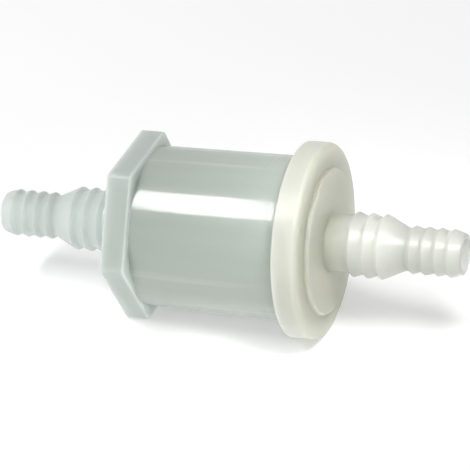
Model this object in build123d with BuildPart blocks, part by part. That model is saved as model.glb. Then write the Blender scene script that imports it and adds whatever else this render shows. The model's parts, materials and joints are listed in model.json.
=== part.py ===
from build123d import *
import os

# An in-line fuel filter for a small engine. The X axis is the flow axis: fuel enters at the
# hexagonal end (-X), passes inwards through a pleated paper element, and leaves at the round
# cap (+X). The origin is on the flow axis, in the middle of the overall length. Two flats of
# the hexagon face +Z and -Z. Sizes are in millimetres.

# Overall layout along the flow axis
overall_length = 71.2
tip_x = overall_length / 2
hex_outer_x = -15.3
flange_thickness = 3.8
cap_rear_x = 11.1
raised_disc_height = 0.7

# Filter body: hexagon, drafted barrel and inlet nipple in one moulding
hex_across_flats = 24.3
hex_corner_radius = 1.0
hex_edge_radius = 0.35
barrel_radius_at_hex = 11.87
barrel_radius_at_cap = 12.1
barrel_wall = 1.25
body_floor_thickness = 2.1
floor_corner_radius = 0.6

# Outlet cap: round lid with outlet nipple, weld groove and spigot
cap_radius = 14.36
cap_front_edge_radius = 0.9
cap_rear_edge_radius = 0.3
raised_disc_radius = 10.75
raised_disc_edge_radius = 0.4
cap_wall = 2.1
weld_depth = 2.2
weld_clearance = 0.05
spigot_length = 1.8
spigot_wall = 1.0

# Stepped hose nipple, the same at both ends, as distances from its tip
port_radius = 2.3
port_mouth_chamfer = 0.15
tip_radius = 3.0
tip_chamfer = 0.2
small_barb_count = 4
small_barb_radius = 3.53
small_barb_root_radius = 3.1
small_barb_pitch = 1.89
first_small_barb = 1.8
large_barb_count = 3
large_barb_radius = 4.78
large_barb_root_radius = 4.2
large_barb_pitch = 2.13
first_large_barb = 11.91
barb_land = 0.2
barb_back = 0.55
neck_radius = 3.08
neck_end = 8.45
neck_blend_radius = 1.2
stem_radius = 4.15
stem_root_fillet = 0.45

# Ribs that clamp the element between the body's floor and the cap
rib_count = 4
rib_start_angle = 45
rib_width = 1.0
rib_inner_radius = 3.4
body_rib_height = 1.2
body_finger_height = 3.4
finger_clearance = 0.15
cap_rib_height = 3.5

# Element: pleated paper potted between two end discs, over a perforated tube
element_radius = 8.9
disc_thickness = 1.1
skirt_wall = 0.5
skirt_height = 1.0
potting_thickness = 0.9
potting_clearance = 0.05
pleat_count = 24
pleat_outer_radius = 8.25
pleat_inner_radius = 4.2
paper_thickness = 0.3
crest_half_width = 0.42
valley_half_width = 0.12
fold_radius = 0.1
paper_embedment = 0.6
seam_width = 0.4
seam_inner_radius = 6.4
tube_radius = 3.9
tube_bore_radius = 3.2
tube_plug_radius = 3.15
tube_plug_length = 1.2
tube_hole_radius = 0.75
tube_hole_rows = 8
tube_holes_per_row = 6
tube_hole_pitch = 2.2

# Neck of the element, sealed in the cap's socket by an O-ring
socket_radius = 3.6
socket_wall = 1.2
socket_depth = 3.1
element_neck_radius = 3.35
element_neck_length = 3.0
element_neck_bore = 2.2
seal_groove_radius = 2.75
seal_groove_width = 1.1
seal_section_radius = 0.42
seal_middle_radius = 3.175
seal_offset = 1.6

# Places that follow from the dimensions above
hex_inner_x = hex_outer_x + flange_thickness
body_floor_x = hex_outer_x + body_floor_thickness
cap_land_x = cap_rear_x + flange_thickness
cap_face_x = cap_land_x + raised_disc_height
barrel_end_x = cap_rear_x + weld_depth
cap_inner_x = cap_face_x - cap_wall
cavity_radius_at_floor = barrel_radius_at_hex - barrel_wall
cavity_radius_at_end = barrel_radius_at_cap - barrel_wall
element_start_x = body_floor_x + body_rib_height
element_end_x = cap_inner_x - cap_rib_height
inlet_disc_face_x = element_start_x + disc_thickness
outlet_disc_face_x = element_end_x - disc_thickness
paper_start_x = inlet_disc_face_x + potting_thickness - paper_embedment
paper_end_x = outlet_disc_face_x - potting_thickness + paper_embedment
seal_x = element_end_x + seal_offset


def barb_row(first, count, pitch, peak_radius, root_radius):
    """Corners of a row of saw-tooth barbs: a long slope towards the tip, a land, a steep back."""
    corners = []
    for n in range(count):
        middle = first + n * pitch
        corners.append((middle - barb_land / 2, peak_radius))
        corners.append((middle + barb_land / 2, peak_radius))
        corners.append((middle + barb_land / 2 + barb_back, root_radius))
    return corners


def nipple_corners(root_distance):
    """Corners of the hose nipple as (distance from the tip, radius), from the tip to its root."""
    small = barb_row(
        first_small_barb, small_barb_count, small_barb_pitch, small_barb_radius, small_barb_root_radius
    )
    large = barb_row(
        first_large_barb, large_barb_count, large_barb_pitch, large_barb_radius, large_barb_root_radius
    )
    small[-1] = (small[-1][0], neck_radius)
    large[-1] = (large[-1][0], stem_radius)
    tip = [(port_mouth_chamfer, port_radius), (0, port_radius + port_mouth_chamfer)]
    tip += [(0, tip_radius - tip_chamfer), (tip_chamfer, tip_radius)]
    return tip + small + [(neck_end, neck_radius)] + large + [(root_distance, stem_radius)]


def soften(sketch, x, radius_at_corner, fillet_radius):
    """Round the section's corner nearest to (x, radius_at_corner)."""
    corner = sketch.vertices().sort_by_distance((x, radius_at_corner, 0))[0]
    fillet(corner, fillet_radius)


# Filter body: hexagon, barrel and inlet nipple
with BuildPart() as filter_body:
    with BuildSketch(Plane.YZ.offset(hex_outer_x)) as hexagon:
        RegularPolygon(hex_across_flats / 2, 6, major_radius=False)
        fillet(hexagon.vertices(), hex_corner_radius)
    extrude(amount=flange_thickness)
    fillet(filter_body.edges().group_by(Axis.X)[0], hex_edge_radius)
    fillet(filter_body.edges().group_by(Axis.X)[-1], hex_edge_radius)
    with BuildSketch(Plane.XY) as inlet_nipple:
        with BuildLine():
            outline = [(d - tip_x, r) for d, r in nipple_corners(tip_x + hex_outer_x)]
            outline.append((hex_outer_x, stem_radius + stem_root_fillet + 1))
            outline.append((hex_outer_x + 1, stem_radius + stem_root_fillet + 1))
            outline.append((hex_outer_x + 1, port_radius))
            Polyline(*outline, close=True)
        make_face()
        soften(inlet_nipple, neck_end - tip_x, neck_radius, neck_blend_radius)
        soften(inlet_nipple, hex_outer_x, stem_radius, stem_root_fillet)
    revolve(axis=Axis.X)
    with BuildSketch(Plane.XY):
        with BuildLine():
            Polyline(
                (hex_inner_x - 1, 0),
                (hex_inner_x - 1, barrel_radius_at_hex),
                (hex_inner_x, barrel_radius_at_hex),
                (barrel_end_x, barrel_radius_at_cap),
                (barrel_end_x, 0),
                close=True,
            )
        make_face()
    revolve(axis=Axis.X)
    with BuildSketch(Plane.XY) as hollow:
        with BuildLine():
            Polyline(
                (port_mouth_chamfer - tip_x, 0),
                (port_mouth_chamfer - tip_x, port_radius),
                (body_floor_x, port_radius),
                (body_floor_x, cavity_radius_at_floor),
                (barrel_end_x, cavity_radius_at_end),
                (barrel_end_x, 0),
                close=True,
            )
        make_face()
        soften(hollow, body_floor_x, cavity_radius_at_floor, floor_corner_radius)
    revolve(axis=Axis.X, mode=Mode.SUBTRACT)
    rib_outer_radius = cavity_radius_at_floor + barrel_wall / 3
    finger_inner_radius = element_radius + finger_clearance
    with BuildSketch(Plane.YZ.offset(body_floor_x)):
        with PolarLocations((rib_inner_radius + rib_outer_radius) / 2, rib_count, rib_start_angle):
            Rectangle(rib_outer_radius - rib_inner_radius, rib_width)
    extrude(amount=body_rib_height)
    with BuildSketch(Plane.YZ.offset(body_floor_x)):
        with PolarLocations((finger_inner_radius + rib_outer_radius) / 2, rib_count, rib_start_angle):
            Rectangle(rib_outer_radius - finger_inner_radius, rib_width)
    extrude(amount=body_finger_height)
filter_body.part.label = "filter_body"

# Outlet cap: round lid, raised disc and outlet nipple, with a groove for the barrel's end
with BuildPart() as outlet_cap:
    groove_inner_radius = cavity_radius_at_end - weld_clearance
    groove_outer_radius = barrel_radius_at_cap + weld_clearance
    spigot_inner_radius = groove_inner_radius - spigot_wall
    socket_mouth_x = cap_inner_x - socket_depth
    with BuildSketch(Plane.XY) as cap_section:
        with BuildLine():
            outline = [(tip_x - d, r) for d, r in nipple_corners(tip_x - cap_face_x)]
            outline += [
                (cap_face_x, raised_disc_radius),
                (cap_land_x, raised_disc_radius),
                (cap_land_x, cap_radius),
                (cap_rear_x, cap_radius),
                (cap_rear_x, groove_outer_radius),
                (barrel_end_x, groove_outer_radius),
                (barrel_end_x, groove_inner_radius),
                (cap_rear_x - spigot_length, groove_inner_radius),
                (cap_rear_x - spigot_length, spigot_inner_radius),
                (cap_inner_x, spigot_inner_radius),
                (cap_inner_x, socket_radius + socket_wall),
                (socket_mouth_x, socket_radius + socket_wall),
                (socket_mouth_x, socket_radius),
                (cap_inner_x, socket_radius),
                (cap_inner_x, port_radius),
            ]
            Polyline(*outline, close=True)
        make_face()
        soften(cap_section, tip_x - neck_end, neck_radius, neck_blend_radius)
        soften(cap_section, cap_face_x, stem_radius, stem_root_fillet)
        soften(cap_section, cap_face_x, raised_disc_radius, raised_disc_edge_radius)
        soften(cap_section, cap_land_x, cap_radius, cap_front_edge_radius)
        soften(cap_section, cap_rear_x, cap_radius, cap_rear_edge_radius)
    revolve(axis=Axis.X)
    cap_rib_inner = socket_radius + socket_wall / 2
    cap_rib_outer = spigot_inner_radius + spigot_wall / 2
    with BuildSketch(Plane.YZ.offset(cap_inner_x)):
        with PolarLocations((cap_rib_inner + cap_rib_outer) / 2, rib_count, rib_start_angle):
            Rectangle(cap_rib_outer - cap_rib_inner, rib_width)
    extrude(amount=-cap_rib_height)
outlet_cap.part.label = "outlet_cap"

# Closed end disc, which stands on the body's ribs and plugs the centre tube
with BuildPart() as inlet_end_disc:
    with BuildSketch(Plane.XY):
        with BuildLine():
            Polyline(
                (element_start_x, 0),
                (element_start_x, element_radius),
                (inlet_disc_face_x + skirt_height, element_radius),
                (inlet_disc_face_x + skirt_height, element_radius - skirt_wall),
                (inlet_disc_face_x, element_radius - skirt_wall),
                (inlet_disc_face_x, tube_plug_radius),
                (inlet_disc_face_x + tube_plug_length, tube_plug_radius),
                (inlet_disc_face_x + tube_plug_length, 0),
                close=True,
            )
        make_face()
    revolve(axis=Axis.X)
inlet_end_disc.part.label = "inlet_end_disc"

# Open end disc, whose neck carries the seal ring into the cap's socket
with BuildPart() as outlet_end_disc:
    with BuildSketch(Plane.XY):
        with BuildLine():
            Polyline(
                (outlet_disc_face_x - tube_plug_length, element_neck_bore),
                (outlet_disc_face_x - tube_plug_length, tube_plug_radius),
                (outlet_disc_face_x, tube_plug_radius),
                (outlet_disc_face_x, element_radius - skirt_wall),
                (outlet_disc_face_x - skirt_height, element_radius - skirt_wall),
                (outlet_disc_face_x - skirt_height, element_radius),
                (element_end_x, element_radius),
                (element_end_x, element_neck_radius),
                (seal_x - seal_groove_width / 2, element_neck_radius),
                (seal_x - seal_groove_width / 2, seal_groove_radius),
                (seal_x + seal_groove_width / 2, seal_groove_radius),
                (seal_x + seal_groove_width / 2, element_neck_radius),
                (element_end_x + element_neck_length, element_neck_radius),
                (element_end_x + element_neck_length, element_neck_bore),
                close=True,
            )
        make_face()
    revolve(axis=Axis.X)
outlet_end_disc.part.label = "outlet_end_disc"

# Rubber O-ring in the neck's groove
with BuildPart() as neck_seal_ring:
    with BuildSketch(Plane.XY):
        with Locations((seal_x, seal_middle_radius)):
            Circle(seal_section_radius)
    revolve(axis=Axis.X)
neck_seal_ring.part.label = "neck_seal_ring"

# Perforated tube that carries the pleats from inside
with BuildPart() as centre_tube:
    with BuildSketch(Plane.YZ.offset(inlet_disc_face_x)):
        Circle(tube_radius)
        Circle(tube_bore_radius, mode=Mode.SUBTRACT)
    extrude(amount=outlet_disc_face_x - inlet_disc_face_x)
    middle_x = (inlet_disc_face_x + outlet_disc_face_x) / 2
    hole_places = []
    for row in range(tube_hole_rows):
        row_x = middle_x + (row - (tube_hole_rows - 1) / 2) * tube_hole_pitch
        stagger = (row % 2) * 180 / tube_holes_per_row
        for n in range(tube_holes_per_row // 2):
            turn = stagger + n * 360 / tube_holes_per_row
            hole_places.append(Location((row_x, 0, 0), (turn, 0, 0)))
    with Locations(*hole_places):
        Cylinder(tube_hole_radius, 2 * tube_radius + 1, mode=Mode.SUBTRACT)
centre_tube.part.label = "centre_tube"

# Pleated paper: a folded loop, open at one outer fold where its two ends are glued
pleat_outline = []
for n in range(pleat_count):
    crest_turn = n * 360 / pleat_count
    valley_turn = (n + 0.5) * 360 / pleat_count
    valley_radius = pleat_inner_radius + paper_thickness
    for side in (-1, 1):
        pleat_outline.append(Vector(pleat_outer_radius, side * crest_half_width).rotate(Axis.Z, crest_turn))
    for side in (-1, 1):
        pleat_outline.append(Vector(valley_radius, side * valley_half_width).rotate(Axis.Z, valley_turn))
with BuildPart() as pleated_media:
    with BuildSketch(Plane.YZ.offset(paper_start_x)) as pleats:
        with BuildLine():
            Polyline(*pleat_outline, close=True)
        make_face()
        fillet(pleats.vertices().sort_by_distance((0, 0, 0))[: 2 * pleat_count], fold_radius)
        crest_corners = pleats.vertices().sort_by_distance((0, 0, 0))[-2 * pleat_count :]
        fillet(crest_corners, fold_radius + paper_thickness)
        offset(amount=-paper_thickness, mode=Mode.SUBTRACT)
        with Locations(((seam_inner_radius + element_radius) / 2, 0)):
            Rectangle(element_radius - seam_inner_radius, seam_width, mode=Mode.SUBTRACT)
    extrude(amount=paper_end_x - paper_start_x)
pleated_media.part.label = "pleated_media"

# Strip of adhesive that joins the paper's two ends
with BuildPart() as media_seam_strip:
    with BuildSketch(Plane.YZ.offset(paper_start_x)):
        with Locations(((seam_inner_radius + pleat_outer_radius) / 2, 0)):
            Rectangle(pleat_outer_radius - seam_inner_radius, seam_width)
    extrude(amount=paper_end_x - paper_start_x)
media_seam_strip.part.label = "media_seam_strip"


def potting_ring(face_x, direction):
    """Cast ring on an end disc's face, with the paper's edge and the seam strip set into it."""
    with BuildPart() as ring:
        with BuildSketch(Plane.YZ.offset(face_x)):
            Circle(element_radius - skirt_wall - potting_clearance)
            Circle(tube_radius + potting_clearance, mode=Mode.SUBTRACT)
        extrude(amount=direction * potting_thickness)
        add(pleated_media.part, mode=Mode.SUBTRACT)
        add(media_seam_strip.part, mode=Mode.SUBTRACT)
    return ring.part


inlet_potting_ring = potting_ring(inlet_disc_face_x, 1)
inlet_potting_ring.label = "inlet_potting_ring"
outlet_potting_ring = potting_ring(outlet_disc_face_x, -1)
outlet_potting_ring.label = "outlet_potting_ring"

pieces = [
    filter_body.part,
    outlet_cap.part,
    inlet_end_disc.part,
    outlet_end_disc.part,
    neck_seal_ring.part,
    centre_tube.part,
    pleated_media.part,
    media_seam_strip.part,
    inlet_potting_ring,
    outlet_potting_ring,
]
os.makedirs("parts", exist_ok=True)
for piece in pieces:
    export_step(piece, f"parts/{piece.label}.step")
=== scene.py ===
"""Looks of a small in-line fuel filter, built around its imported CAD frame.

The two mouldings are skinned here as closed grids of rings along the flow axis, with rounded
edges. The filter element inside keeps its CAD pieces, with materials of its own. Lengths are in
millimetres until a mesh is made, except the studio's own, which are in metres.
"""

import json
import math

import bmesh
import bpy
from mathutils import Matrix, Vector


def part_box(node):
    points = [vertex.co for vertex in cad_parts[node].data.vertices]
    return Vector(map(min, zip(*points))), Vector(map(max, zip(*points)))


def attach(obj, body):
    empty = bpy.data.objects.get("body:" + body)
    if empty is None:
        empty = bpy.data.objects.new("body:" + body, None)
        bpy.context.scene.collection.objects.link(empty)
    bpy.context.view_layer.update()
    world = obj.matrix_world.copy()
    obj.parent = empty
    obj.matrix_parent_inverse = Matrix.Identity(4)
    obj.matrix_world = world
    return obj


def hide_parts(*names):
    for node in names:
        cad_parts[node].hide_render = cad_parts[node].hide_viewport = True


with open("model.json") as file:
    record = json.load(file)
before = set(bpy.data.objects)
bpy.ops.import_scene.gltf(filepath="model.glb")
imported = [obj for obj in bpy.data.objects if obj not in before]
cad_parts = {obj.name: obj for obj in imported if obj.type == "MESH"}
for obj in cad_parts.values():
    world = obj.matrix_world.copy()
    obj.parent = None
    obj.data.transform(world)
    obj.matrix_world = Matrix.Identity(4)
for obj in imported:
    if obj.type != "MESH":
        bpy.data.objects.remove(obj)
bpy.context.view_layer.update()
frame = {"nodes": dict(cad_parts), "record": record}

MM = 0.001
BODY = "root"

# Places and sizes that the frame gives
body_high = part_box("filter_body")[1] / MM
cap_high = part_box("outlet_cap")[1] / MM
mounts = {mount["name"]: mount for mount in frame["record"]["mounts"]}
TIP_X = cap_high.x
HEX_APOTHEM = body_high.z
BARREL_END_X = body_high.x
CAP_RADIUS = cap_high.y
PORT_RADIUS = mounts["outlet_port"]["dims"]["r_mm"]
SMALL_BARB_RADIUS = mounts["outlet_hose_small"]["dims"]["r_mm"]
LARGE_BARB_RADIUS = mounts["outlet_hose_large"]["dims"]["r_mm"]

# Thicknesses and places along the flow axis
FLANGE_THICKNESS = 3.8
FLOOR_THICKNESS = 2.1
RAISED_DISC_HEIGHT = 0.7
HEX_OUTER_X = -15.3
HEX_INNER_X = HEX_OUTER_X + FLANGE_THICKNESS
CAP_REAR_X = 11.1
CAP_LAND_X = CAP_REAR_X + FLANGE_THICKNESS
CAP_FACE_X = CAP_LAND_X + RAISED_DISC_HEIGHT
BODY_FLOOR_X = HEX_OUTER_X + FLOOR_THICKNESS
CAP_INNER_X = CAP_FACE_X - FLOOR_THICKNESS

# Body moulding
HEX_CORNER_RADIUS = 1.0
HEX_EDGE_RADIUS = 0.35
BARREL_RADIUS_AT_HEX = 11.87
BARREL_RADIUS_AT_CAP = 12.1
BARREL_WALL = 1.25
BARREL_FOOT_FILLET = 0.08
BODY_FLOOR_FILLET = 0.6

# Outlet cap
RAISED_DISC_RADIUS = 10.75
RAISED_DISC_EDGE = 0.39
CAP_FRONT_EDGE = 0.9
CAP_REAR_EDGE = 0.3
CAP_INNER_FILLET = 0.3
GROOVE_EDGE = 0.05
SPIGOT_LENGTH = 1.8
SPIGOT_WALL = 1.0
SPIGOT_LEAD_IN = 0.2
SOCKET_RADIUS = 3.6
SOCKET_WALL = 1.2
SOCKET_DEPTH = 3.1
WELD_CLEARANCE = 0.05
SLIGHT_ROUND = 0.1

# Hose nipple, as distances from its tip
TIP_RADIUS = 3.0
MOUTH_EDGE = 0.15
TIP_EDGE = 0.25
SMALL_BARB_START = 1.8
SMALL_BARB_PITCH = 1.89
LARGE_BARB_START = 11.91
LARGE_BARB_PITCH = 2.13
SMALL_BARBS = [SMALL_BARB_START + n * SMALL_BARB_PITCH for n in range(4)]
LARGE_BARBS = [LARGE_BARB_START + n * LARGE_BARB_PITCH for n in range(3)]
SMALL_ROOT_RADIUS = 3.1
LARGE_ROOT_RADIUS = 4.2
BARB_BACK = 0.65
BARB_CREST_ROUND = 0.15
BARB_ROOT_ROUND = 0.25
NECK_END = 8.45
NECK_RADIUS = 3.08
NECK_BLEND = 1.2
STEM_RADIUS = 4.15
STEM_ROOT_FILLET = 0.45

# Ribs that clamp the element
RIB_TURNS = [math.radians(45 + 90 * n) for n in range(4)]
RIB_WIDTH = 1.0
RIB_BITE = 0.2
SHELF_RADIUS = 3.4
SHELF_HEIGHT = 1.2
FINGER_RADIUS = 9.05
FINGER_HEIGHT = 3.4
CAP_RIB_HEIGHT = 3.5

# How finely the skins are divided
ARC_STEP = math.radians(15)
CORNER_POINTS = 9
FLAT_POINTS = 20
EDGE_STEPS = 6
CAP_RING_POINTS = 192
TOUCHING = 0.001

# Where one look turns into the next, as (from, to) places on the flow axis
NIPPLE_TO_HEXAGON = (HEX_OUTER_X - 1.5, HEX_OUTER_X + 0.5)
HEXAGON_TO_SHOULDER = (HEX_INNER_X - 0.5, HEX_INNER_X - 0.1)
SHOULDER_TO_BARREL = (HEX_INNER_X + 0.05, HEX_INNER_X + 0.3)
BARREL_TO_WELD = (CAP_REAR_X - 9, CAP_REAR_X - 2)
RIM_TO_FACE = (CAP_LAND_X - 0.8, CAP_LAND_X)
FACE_TO_NIPPLE = (CAP_FACE_X, CAP_FACE_X + 4)

# Colours of the pieces and the floor, each as a darker and a lighter shade
INLET_NIPPLE_SHADES = ((0.81, 0.905, 0.855), (0.83, 0.925, 0.875))
HEXAGON_SHADES = ((0.475, 0.52, 0.485), (0.495, 0.54, 0.505))
# These are painted light: lighter shades brighten the flange's inner face where it lies in shade
# beside the barrel.
SHOULDER_PAINTED_LIGHT_SHADES = ((0.66, 0.725, 0.67), (0.69, 0.755, 0.70))
BARREL_SHADES = ((0.405, 0.45, 0.405), (0.42, 0.465, 0.42))
LID_SHADES = ((0.495, 0.505, 0.435), (0.525, 0.535, 0.465))
# These are painted shade: the lid's face is darker and yellower than its rim to stand in for the
# shading across it.
LID_FACE_PAINTED_SHADE = ((0.47, 0.48, 0.385), (0.495, 0.505, 0.41))
OUTLET_NIPPLE_SHADES = ((0.79, 0.815, 0.72), (0.81, 0.835, 0.74))
DISC_SHADES = ((0.72, 0.72, 0.68), (0.8, 0.8, 0.76))
TUBE_SHADES = ((0.68, 0.7, 0.66), (0.76, 0.77, 0.73))
PAPER_SHADES = ((0.74, 0.72, 0.62), (0.84, 0.82, 0.74))
POTTING_SHADES = ((0.66, 0.6, 0.46), (0.74, 0.68, 0.54))
ADHESIVE_SHADES = ((0.66, 0.58, 0.38), (0.74, 0.66, 0.46))
RUBBER_SHADES = ((0.012, 0.012, 0.012), (0.025, 0.025, 0.025))
FLOOR_SHADES = ((0.79, 0.79, 0.79), (0.81, 0.81, 0.81))

# Single colours
BLACK = (0, 0, 0)
WHITE = (1, 1, 1)
FLOW_LINE_COLOUR = (0.47, 0.515, 0.47)

# Patterns, in cycles a metre, and the share of that along drawn-out lines
MOTTLE_SCALE = 120
FLOW_LINE_SCALE = 450
TURNING_MARK_SCALE = 3500
CAP_SKIN_SCALE = 400
FLOOR_SCALE = 6
GRAIN_FINENESS = 4
ALONG_LINES = 0.03

# Weights of the plastics' gloss and clearness
HEXAGON_COAT = 0.1
BARREL_COAT = 0.5
NIPPLE_EXTRA_COAT = 0.25
COAT_LOST_IN_MARKS = 0.35
NIPPLE_CLEARNESS = 0.4

# Studio, its lengths in metres
FLOOR_HALF_SIDE = 3
FLOOR_GAP = 0.00002
CAMERA_DISTANCE = 0.38
LAMP_DISTANCE = 0.6
NEAR_LAMP_DISTANCE = 0.075
SURROUNDINGS_LEAN = (-0.34, 0.05, -0.4)
SURROUNDINGS_LIGHT = 1.2


# ---------------------------------------------------------------- outlines and rings


def rounded_outline(corners):
    """Points of a closed outline from (x, radius, fillet) corners, each fillet as an arc."""
    points = []
    for i, (x, radius, fillet) in enumerate(corners):
        corner = Vector((x, radius))
        if not fillet:
            points.append(corner)
            continue
        before = (Vector(corners[i - 1][:2]) - corner).normalized()
        after = (Vector(corners[(i + 1) % len(corners)][:2]) - corner).normalized()
        half_angle = before.angle(after) / 2
        centre = corner + (before + after).normalized() * fillet / math.sin(half_angle)
        spoke = corner + before * fillet / math.tan(half_angle) - centre
        sweep = math.pi - 2 * half_angle
        if before.cross(after) > 0:
            sweep = -sweep
        steps = max(2, round(abs(sweep) / ARC_STEP))
        for k in range(steps + 1):
            points.append(centre + Matrix.Rotation(sweep * k / steps, 2) @ spoke)
    return points


def barb_row(places, crest, root):
    """Corners of a row of barbs, each with a long slope towards the tip and a steep back."""
    corners = []
    for place in places:
        corners.append((place, crest, BARB_CREST_ROUND))
        corners.append((place + BARB_BACK, root, BARB_ROOT_ROUND))
    return corners


def nipple_corners():
    """Corners of the hose nipple as (distance from the tip, radius, fillet), up to its stem."""
    small = barb_row(SMALL_BARBS, SMALL_BARB_RADIUS, SMALL_ROOT_RADIUS)
    large = barb_row(LARGE_BARBS, LARGE_BARB_RADIUS, LARGE_ROOT_RADIUS)
    # The last barb of each row falls to the neck or to the stem
    small[-1] = (small[-1][0], NECK_RADIUS, SLIGHT_ROUND)
    large[-1] = (large[-1][0], STEM_RADIUS, BARB_ROOT_ROUND)
    mouth = [(0, PORT_RADIUS, MOUTH_EDGE), (0, TIP_RADIUS, TIP_EDGE)]
    return mouth + small + [(NECK_END, NECK_RADIUS, NECK_BLEND)] + large


def round_ring(x, radius, angles):
    """A ring of points round the flow axis."""
    return [(x, radius * math.cos(a), radius * math.sin(a)) for a in angles]


def hexagon_ring(x, inset):
    """A ring on the flange's rounded hexagon, drawn in from its outline by inset."""
    corner_centre = (HEX_APOTHEM - HEX_CORNER_RADIUS) / math.cos(math.radians(30))
    radius = HEX_CORNER_RADIUS - inset
    arcs = []
    for side in range(6):
        middle = math.radians(60 * side)
        centre = corner_centre * Vector((math.cos(middle), math.sin(middle)))
        for k in range(CORNER_POINTS):
            turn = middle + math.radians(60 * k / (CORNER_POINTS - 1) - 30)
            arcs.append(centre + radius * Vector((math.cos(turn), math.sin(turn))))
    ring = []
    for i, point in enumerate(arcs):
        ring.append((x, point.x, point.y))
        if i % CORNER_POINTS == CORNER_POINTS - 1:
            after = arcs[(i + 1) % len(arcs)]
            for k in range(1, FLAT_POINTS + 1):
                between = point.lerp(after, k / (FLAT_POINTS + 1))
                ring.append((x, between.x, between.y))
    return ring


def flange_rings():
    """Rings over the hexagonal rim, with both its edges rounded."""
    rings = []
    for edge_x, direction in ((HEX_OUTER_X, 1), (HEX_INNER_X, -1)):
        arc = []
        for k in range(EDGE_STEPS + 1):
            turn = math.pi / 2 * k / EDGE_STEPS
            depth = HEX_EDGE_RADIUS * (1 - math.cos(turn))
            inset = HEX_EDGE_RADIUS * (1 - math.sin(turn))
            arc.append(hexagon_ring(edge_x + direction * depth, inset))
        rings += arc if direction == 1 else arc[::-1]
    return rings


# ---------------------------------------------------------------- meshes


def skin_rings(mesh, rings):
    """Adds a closed skin over rings of equal length, the last ring joined to the first."""
    made = [[mesh.verts.new(Vector(point) * MM) for point in ring] for ring in rings]
    for here, after in zip(made, made[1:] + made[:1]):
        for k in range(len(here)):
            n = (k + 1) % len(here)
            mesh.faces.new((here[k], here[n], after[n], after[k]))


def add_rib(mesh, outline, turn):
    """Adds a flat rib with this (x, radius) outline, standing out from the axis at a turn."""
    sideways = Vector((0, -math.sin(turn), math.cos(turn)))
    outwards = Vector((0, math.cos(turn), math.sin(turn)))
    sides = []
    for offset in (-RIB_WIDTH / 2, RIB_WIDTH / 2):
        corners = [Vector((x, 0, 0)) + outwards * radius + sideways * offset for x, radius in outline]
        sides.append([mesh.verts.new(corner * MM) for corner in corners])
    mesh.faces.new(sides[0])
    mesh.faces.new(reversed(sides[1]))
    count = len(outline)
    for k in range(count):
        n = (k + 1) % count
        mesh.faces.new((sides[0][n], sides[0][k], sides[1][k], sides[1][n]))


def make_piece(name, mesh, material, slot, *nodes):
    """Turns the built mesh into a smooth piece that rides with the body and stands for nodes."""
    bmesh.ops.recalc_face_normals(mesh, faces=mesh.faces)
    data = bpy.data.meshes.new(name)
    mesh.to_mesh(data)
    mesh.free()
    data.shade_smooth()
    piece = bpy.data.objects.new(name, data)
    bpy.context.collection.objects.link(piece)
    normals = piece.modifiers.new("even_shading", "WEIGHTED_NORMAL")
    normals.weight = 100
    data.materials.append(material)
    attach(piece, BODY)
    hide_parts(*nodes)


def build_body_shell():
    """Hexagon, barrel and inlet nipple in one skin, with the ribs inside its floor."""
    angles = [math.atan2(z, y) for _, y, z in hexagon_ring(0, 0)]
    nipple = [(d - TIP_X, radius, fillet) for d, radius, fillet in nipple_corners()]
    hollow_radius = BARREL_RADIUS_AT_HEX - BARREL_WALL
    outline = rounded_outline(
        nipple
        + [
            (HEX_OUTER_X, STEM_RADIUS, STEM_ROOT_FILLET),
            (HEX_OUTER_X, HEX_APOTHEM, 0),
            (HEX_INNER_X, HEX_APOTHEM, 0),
            (HEX_INNER_X, BARREL_RADIUS_AT_HEX, BARREL_FOOT_FILLET),
            (BARREL_END_X, BARREL_RADIUS_AT_CAP, SLIGHT_ROUND),
            (BARREL_END_X, BARREL_RADIUS_AT_CAP - BARREL_WALL, SLIGHT_ROUND),
            (BODY_FLOOR_X, hollow_radius, BODY_FLOOR_FILLET),
            (BODY_FLOOR_X, PORT_RADIUS, SLIGHT_ROUND),
        ]
    )
    # The hexagon's own rings take the place of the outline's two corners on the rim
    rings = []
    for x, radius in outline:
        if radius < HEX_APOTHEM - TOUCHING:
            rings.append(round_ring(x, radius, angles))
        elif x < HEX_OUTER_X + TOUCHING:
            rings += flange_rings()
    mesh = bmesh.new()
    skin_rings(mesh, rings)
    foot = BODY_FLOOR_X - RIB_BITE
    shelf = BODY_FLOOR_X + SHELF_HEIGHT
    top = BODY_FLOOR_X + FINGER_HEIGHT
    wall = hollow_radius + BARREL_WALL / 3
    rib = [
        (foot, SHELF_RADIUS),
        (shelf, SHELF_RADIUS),
        (shelf, FINGER_RADIUS),
        (top, FINGER_RADIUS),
        (top, wall),
        (foot, wall),
    ]
    for turn in RIB_TURNS:
        add_rib(mesh, rib, turn)
    make_piece("body_shell", mesh, body_plastic(), "body_plastic", "filter_body")


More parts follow.
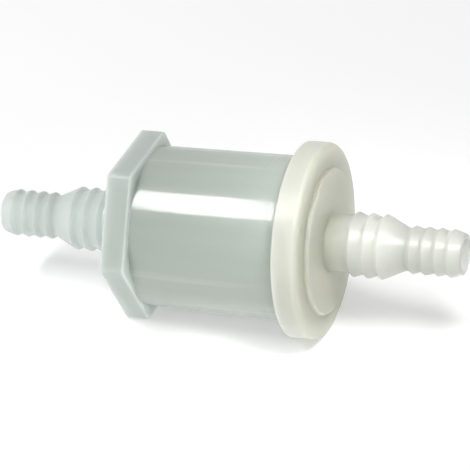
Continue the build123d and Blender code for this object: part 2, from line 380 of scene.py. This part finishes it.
def build_cap_shell():
    """Round lid, raised disc and outlet nipple in one skin, with the socket and ribs inside."""
    angles = [math.tau * k / CAP_RING_POINTS for k in range(CAP_RING_POINTS)]
    nipple = [(TIP_X - d, radius, fillet) for d, radius, fillet in nipple_corners()]
    groove_outer = BARREL_RADIUS_AT_CAP + WELD_CLEARANCE
    groove_inner = BARREL_RADIUS_AT_CAP - BARREL_WALL - WELD_CLEARANCE
    spigot_inner = groove_inner - SPIGOT_WALL
    spigot_x = CAP_REAR_X - SPIGOT_LENGTH
    socket_outer = SOCKET_RADIUS + SOCKET_WALL
    socket_x = CAP_INNER_X - SOCKET_DEPTH
    outline = rounded_outline(
        nipple
        + [
            (CAP_FACE_X, STEM_RADIUS, STEM_ROOT_FILLET),
            (CAP_FACE_X, RAISED_DISC_RADIUS, RAISED_DISC_EDGE),
            (CAP_LAND_X, RAISED_DISC_RADIUS, CAP_INNER_FILLET),
            (CAP_LAND_X, CAP_RADIUS, CAP_FRONT_EDGE),
            (CAP_REAR_X, CAP_RADIUS, CAP_REAR_EDGE),
            (CAP_REAR_X, groove_outer, GROOVE_EDGE),
            (BARREL_END_X, groove_outer, 0),
            (BARREL_END_X, groove_inner, 0),
            (spigot_x, groove_inner, SPIGOT_LEAD_IN),
            (spigot_x, spigot_inner, SLIGHT_ROUND),
            (CAP_INNER_X, spigot_inner, CAP_INNER_FILLET),
            (CAP_INNER_X, socket_outer, CAP_INNER_FILLET),
            (socket_x, socket_outer, SLIGHT_ROUND),
            (socket_x, SOCKET_RADIUS, SLIGHT_ROUND),
            (CAP_INNER_X, SOCKET_RADIUS, 0),
            (CAP_INNER_X, PORT_RADIUS, SLIGHT_ROUND),
        ]
    )
    mesh = bmesh.new()
    skin_rings(mesh, [round_ring(x, radius, angles) for x, radius in outline])
    rib_inner = SOCKET_RADIUS + SOCKET_WALL / 2
    rib_outer = spigot_inner + SPIGOT_WALL / 2
    foot = CAP_INNER_X + RIB_BITE
    top = CAP_INNER_X - CAP_RIB_HEIGHT
    rib = [(foot, rib_inner), (top, rib_inner), (top, rib_outer), (foot, rib_outer)]
    for turn in RIB_TURNS:
        add_rib(mesh, rib, turn)
    make_piece("cap_shell", mesh, cap_plastic(), "cap_plastic", "outlet_cap")


# ---------------------------------------------------------------- material nodes


def node_material(name):
    """An empty node material, its tree and its Principled shader."""
    material = bpy.data.materials.new(name)
    material.use_nodes = True
    tree = material.node_tree
    return material, tree, tree.nodes["Principled BSDF"]


def noise_of(tree, scale, detail=3.0, stretch=(1, 1, 1)):
    """The value of a noise pattern in the object's own space, with scale in cycles a metre."""
    place = tree.nodes.new("ShaderNodeTexCoord")
    mapping = tree.nodes.new("ShaderNodeMapping")
    mapping.inputs["Scale"].default_value = stretch
    pattern = tree.nodes.new("ShaderNodeTexNoise")
    pattern.inputs["Scale"].default_value = scale
    pattern.inputs["Detail"].default_value = detail
    tree.links.new(place.outputs["Object"], mapping.inputs["Vector"])
    tree.links.new(mapping.outputs["Vector"], pattern.inputs["Vector"])
    return pattern.outputs["Fac"]


def ramp_of(tree, value, stops):
    """A colour ramp over value, with stops as (place, (r, g, b))."""
    ramp = tree.nodes.new("ShaderNodeValToRGB")
    elements = ramp.color_ramp.elements
    elements[0].position, elements[0].color = stops[0][0], (*stops[0][1], 1)
    elements[1].position, elements[1].color = stops[-1][0], (*stops[-1][1], 1)
    for place, colour in stops[1:-1]:
        elements.new(place).color = (*colour, 1)
    tree.links.new(value, ramp.inputs["Fac"])
    return ramp.outputs["Color"]


def mottled(tree, pattern, shades):
    """A colour that drifts with the pattern between its darker and its lighter shade."""
    dark, light = shades
    return ramp_of(tree, pattern, [(0.3, dark), (0.7, light)])


def range_of(tree, value, low, high, value_low=0):
    """Maps a value from value_low..1 to low..high."""
    spread = tree.nodes.new("ShaderNodeMapRange")
    spread.inputs["From Min"].default_value = value_low
    spread.inputs["To Min"].default_value = low
    spread.inputs["To Max"].default_value = high
    tree.links.new(value, spread.inputs["Value"])
    return spread.outputs["Result"]


def zone_of(tree, start_x, end_x):
    """A smooth rise along the flow axis from 0 at start_x to 1 at end_x, level beyond both."""
    place = tree.nodes.new("ShaderNodeTexCoord")
    split = tree.nodes.new("ShaderNodeSeparateXYZ")
    zone = tree.nodes.new("ShaderNodeMapRange")
    zone.interpolation_type = "SMOOTHSTEP"
    zone.inputs["From Min"].default_value = start_x * MM
    zone.inputs["From Max"].default_value = end_x * MM
    tree.links.new(place.outputs["Object"], split.inputs["Vector"])
    tree.links.new(split.outputs["X"], zone.inputs["Value"])
    return zone.outputs["Result"]


def blend_of(tree, factor, first, second):
    """Mixes two colour sockets by a factor."""
    mix = tree.nodes.new("ShaderNodeMix")
    mix.data_type = "RGBA"
    tree.links.new(factor, mix.inputs[0])
    tree.links.new(first, mix.inputs[6])
    tree.links.new(second, mix.inputs[7])
    return mix.outputs[2]


def math_of(tree, operation, first, second):
    """Combines a value socket with another one, or with a plain number."""
    step = tree.nodes.new("ShaderNodeMath")
    step.operation = operation
    tree.links.new(first, step.inputs[0])
    if isinstance(second, float):
        step.inputs[1].default_value = second
    else:
        tree.links.new(second, step.inputs[1])
    return step.outputs["Value"]


def milky(shader, depth_mm):
    """Lets light wander about this far inside the plastic."""
    shader.inputs["IOR"].default_value = 1.5
    shader.inputs["Subsurface Weight"].default_value = 1.0
    shader.inputs["Subsurface Radius"].default_value = (1.0, 1.0, 1.0)
    shader.inputs["Subsurface Scale"].default_value = depth_mm * MM


def add_bump(tree, shader, height, depth_mm):
    """Bumps the shader's surface by a height pattern of this depth."""
    bump = tree.nodes.new("ShaderNodeBump")
    bump.inputs["Strength"].default_value = 1.0
    bump.inputs["Distance"].default_value = depth_mm * MM
    tree.links.new(height, bump.inputs["Height"])
    tree.links.new(bump.outputs["Normal"], shader.inputs["Normal"])


# ---------------------------------------------------------------- materials


def body_colour(tree, in_barrel):
    """Pale in the nipple, greyer in the hexagon and greyest in the barrel, with flow lines; the
    flange's inner face gets painted light.
    """
    mottle = noise_of(tree, MOTTLE_SCALE)
    nipple = mottled(tree, mottle, INLET_NIPPLE_SHADES)
    hexagon = mottled(tree, mottle, HEXAGON_SHADES)
    shoulder_painted_light = mottled(tree, mottle, SHOULDER_PAINTED_LIGHT_SHADES)
    flow_lines = noise_of(tree, FLOW_LINE_SCALE, 2.0, (ALONG_LINES, 1, 1))
    dark, light = BARREL_SHADES
    barrel = ramp_of(tree, flow_lines, [(0.3, dark), (0.62, light), (0.68, FLOW_LINE_COLOUR)])
    in_flange = zone_of(tree, *NIPPLE_TO_HEXAGON)
    at_shoulder = zone_of(tree, *HEXAGON_TO_SHOULDER)
    # The flange's inner face is painted lighter than the hexagon: painted light where it lies in
    # shade.
    flange = blend_of(tree, at_shoulder, hexagon, shoulder_painted_light)
    thick = blend_of(tree, in_flange, nipple, flange)
    return blend_of(tree, in_barrel, thick, barrel)


def body_coat(tree, in_barrel, in_nipple):
    """Weight of the gloss: most on the barrel, with turning marks across it near the weld."""
    near_weld = zone_of(tree, *BARREL_TO_WELD)
    fine_lines = noise_of(tree, TURNING_MARK_SCALE, 3.0, (1, ALONG_LINES, ALONG_LINES))
    turning_marks = ramp_of(tree, fine_lines, [(0.42, BLACK), (0.6, WHITE)])
    marked = math_of(tree, "MULTIPLY", near_weld, turning_marks)
    dulled = math_of(tree, "MULTIPLY", marked, COAT_LOST_IN_MARKS)
    moulded = range_of(tree, in_barrel, HEXAGON_COAT, BARREL_COAT)
    extra = math_of(tree, "MULTIPLY", in_nipple, NIPPLE_EXTRA_COAT)
    return math_of(tree, "SUBTRACT", math_of(tree, "ADD", moulded, extra), dulled)


def body_plastic():
    """Natural nylon, greenish grey: milky where it is thick, greyer and glossier in the barrel."""
    material, tree, shader = node_material("body_plastic")
    in_barrel = zone_of(tree, *SHOULDER_TO_BARREL)
    in_nipple = zone_of(tree, *reversed(NIPPLE_TO_HEXAGON))
    clearness = math_of(tree, "MULTIPLY", in_nipple, NIPPLE_CLEARNESS)
    tree.links.new(body_colour(tree, in_barrel), shader.inputs["Base Color"])
    tree.links.new(body_coat(tree, in_barrel, in_nipple), shader.inputs["Coat Weight"])
    tree.links.new(clearness, shader.inputs["Transmission Weight"])
    shader.inputs["Roughness"].default_value = 0.32
    shader.inputs["Specular IOR Level"].default_value = 0.15
    shader.inputs["Coat Roughness"].default_value = 0.08
    shader.inputs["Coat IOR"].default_value = 1.5
    milky(shader, 4)
    return material


def cap_plastic():
    """Warm off-white moulded plastic, milky, with a semi-gloss skin and painted shade on its face."""
    material, tree, shader = node_material("cap_plastic")
    mottle = noise_of(tree, MOTTLE_SCALE)
    lid = mottled(tree, mottle, LID_SHADES)
    face = mottled(tree, mottle, LID_FACE_PAINTED_SHADE)
    nipple = mottled(tree, mottle, OUTLET_NIPPLE_SHADES)
    in_face = zone_of(tree, *RIM_TO_FACE)
    in_nipple = zone_of(tree, *FACE_TO_NIPPLE)
    # The face is painted darker and yellower than the rim: painted shade.
    colour = blend_of(tree, in_nipple, blend_of(tree, in_face, lid, face), nipple)
    clearness = math_of(tree, "MULTIPLY", in_nipple, NIPPLE_CLEARNESS)
    roughness = range_of(tree, noise_of(tree, CAP_SKIN_SCALE), 0.3, 0.38)
    tree.links.new(colour, shader.inputs["Base Color"])
    tree.links.new(clearness, shader.inputs["Transmission Weight"])
    tree.links.new(roughness, shader.inputs["Roughness"])
    milky(shader, 9)
    return material


def element_material(name, shades, roughness, scale=500, depth_mm=0.03, sheen=0.0):
    """A plain material with mottled colour and a finer raised grain, for the pieces inside."""
    material, tree, shader = node_material(name)
    tree.links.new(mottled(tree, noise_of(tree, scale), shades), shader.inputs["Base Color"])
    shader.inputs["Roughness"].default_value = roughness
    shader.inputs["Sheen Weight"].default_value = sheen
    add_bump(tree, shader, noise_of(tree, scale * GRAIN_FINENESS), depth_mm)
    return material


def dress_element():
    """Gives the CAD pieces of the filter element their own materials."""
    disc = element_material("disc_plastic", DISC_SHADES, 0.4, depth_mm=0.01)
    tube = element_material("tube_plastic", TUBE_SHADES, 0.45, depth_mm=0.01)
    paper = element_material("filter_paper", PAPER_SHADES, 0.9, scale=900, depth_mm=0.06, sheen=0.2)
    potting = element_material("potting", POTTING_SHADES, 0.35, scale=300)
    adhesive = element_material("seam_adhesive", ADHESIVE_SHADES, 0.3, scale=300)
    rubber = element_material("seal_rubber", RUBBER_SHADES, 0.55, scale=700, depth_mm=0.01)
    finishes = {
        "inlet_end_disc": disc,
        "outlet_end_disc": disc,
        "centre_tube": tube,
        "pleated_media": paper,
        "inlet_potting_ring": potting,
        "outlet_potting_ring": potting,
        "media_seam_strip": adhesive,
        "neck_seal_ring": rubber,
    }
    for name, material in finishes.items():
        for place in frame["nodes"][name].material_slots:
            place.material = material


# ---------------------------------------------------------------- studio


def floor_contacts():
    """Where the filter touches the floor: the hexagon's outer edge and the cap's rear edge."""
    hex_edge = Vector((HEX_OUTER_X + HEX_EDGE_RADIUS, 0, -HEX_APOTHEM))
    cap_edge = Vector((CAP_REAR_X + CAP_REAR_EDGE, 0, -CAP_RADIUS))
    return hex_edge, cap_edge


def build_floor():
    """A wide pale floor, tilted so that the filter lies on its hexagon and its cap's rim."""
    hex_edge, cap_edge = floor_contacts()
    slope = math.atan2(hex_edge.z - cap_edge.z, cap_edge.x - hex_edge.x)
    mesh = bmesh.new()
    bmesh.ops.create_grid(mesh, x_segments=1, y_segments=1, size=FLOOR_HALF_SIDE)
    data = bpy.data.meshes.new("floor")
    mesh.to_mesh(data)
    mesh.free()
    floor = bpy.data.objects.new("floor", data)
    bpy.context.collection.objects.link(floor)
    floor.rotation_euler = (0, slope, 0)
    floor.location = cap_edge * MM
    floor.location.z -= FLOOR_GAP
    material, tree, shader = node_material("pale_floor")
    colour = mottled(tree, noise_of(tree, FLOOR_SCALE), FLOOR_SHADES)
    tree.links.new(colour, shader.inputs["Base Color"])
    shader.inputs["Roughness"].default_value = 0.7
    shader.inputs["Emission Color"].default_value = (1, 1, 1, 1)
    shader.inputs["Emission Strength"].default_value = 0.3
    data.materials.append(material)


def aim(thing, target, direction, distance, up):
    """Puts a camera or lamp at a distance from the target, looking at it, level with up."""
    back = direction.normalized()
    side = up.cross(back).normalized()
    rotation = Matrix((side, back.cross(side), back)).transposed()
    thing.matrix_world = Matrix.Translation(target + back * distance) @ rotation.to_4x4()


def softbox(name, width, height, power, spread=180):
    """A soft rectangular lamp, with its beam held to a spread in degrees."""
    lamp = bpy.data.lights.new(name, "AREA")
    lamp.shape = "RECTANGLE"
    lamp.size = width
    lamp.size_y = height
    lamp.energy = power
    lamp.spread = math.radians(spread)
    holder = bpy.data.objects.new(name, lamp)
    bpy.context.collection.objects.link(holder)
    return holder


def build_lamps():
    """A long key lamp that makes the barrel's stripe, a front lamp and a small one by the outlet."""
    centre = Vector()
    outlet_nipple = Vector((CAP_FACE_X + 8, 0, 0)) * MM
    upright = Vector((0, 0, 1))
    backwards = Vector((0, 1, 0))
    across_barrel = Vector((-0.13, 1, 0.4))
    key = softbox("key_softbox", width=0.08, height=0.28, power=1.75)
    aim(key, centre, Vector((-0.357, -0.387, 0.85)), LAMP_DISTANCE, across_barrel)
    front = softbox("front_softbox", width=0.25, height=0.25, power=0.45)
    aim(front, centre, Vector((0.15, -0.85, 0.5)), LAMP_DISTANCE, upright)
    near = softbox("near_softbox", width=0.03, height=0.03, power=0.0052, spread=50)
    aim(near, outlet_nipple, Vector((0.36, -0.42, 0.83)), NEAR_LAMP_DISTANCE, backwards)


def build_camera():
    """A long lens from the front right and above, nearly level with the floor."""
    camera = bpy.data.objects.new("camera", bpy.data.cameras.new("camera"))
    bpy.context.collection.objects.link(camera)
    camera.data.sensor_width = 36
    camera.data.lens = 198.5
    azimuth = math.radians(22.2)
    elevation = math.radians(29.84)
    roll = math.radians(5.55)
    level = math.cos(elevation)
    direction = Vector((math.sin(azimuth) * level, -math.cos(azimuth) * level, math.sin(elevation)))
    up = Vector((math.sin(roll), 0, math.cos(roll)))
    middle = Vector((0.7, 0, -0.4)) * MM
    aim(camera, middle, direction, CAMERA_DISTANCE, up)
    bpy.context.scene.camera = camera


def build_surroundings():
    """White surroundings, brightest low beyond the inlet and dimmest high beyond the outlet."""
    world = bpy.data.worlds.new("studio")
    bpy.context.scene.world = world
    world.use_nodes = True
    tree = world.node_tree
    backdrop = tree.nodes["Background"]
    backdrop.inputs["Color"].default_value = (1, 1, 1, 1)
    place = tree.nodes.new("ShaderNodeTexCoord")
    lean = tree.nodes.new("ShaderNodeVectorMath")
    lean.operation = "DOT_PRODUCT"
    lean.inputs[1].default_value = SURROUNDINGS_LEAN
    tree.links.new(place.outputs["Generated"], lean.inputs[0])
    light = range_of(tree, lean.outputs["Value"], 0, SURROUNDINGS_LIGHT, value_low=-1)
    tree.links.new(light, backdrop.inputs["Strength"])


build_body_shell()
build_cap_shell()
dress_element()
build_floor()
build_camera()
build_lamps()
build_surroundings()
bpy.context.scene.view_settings.view_transform = "Standard"
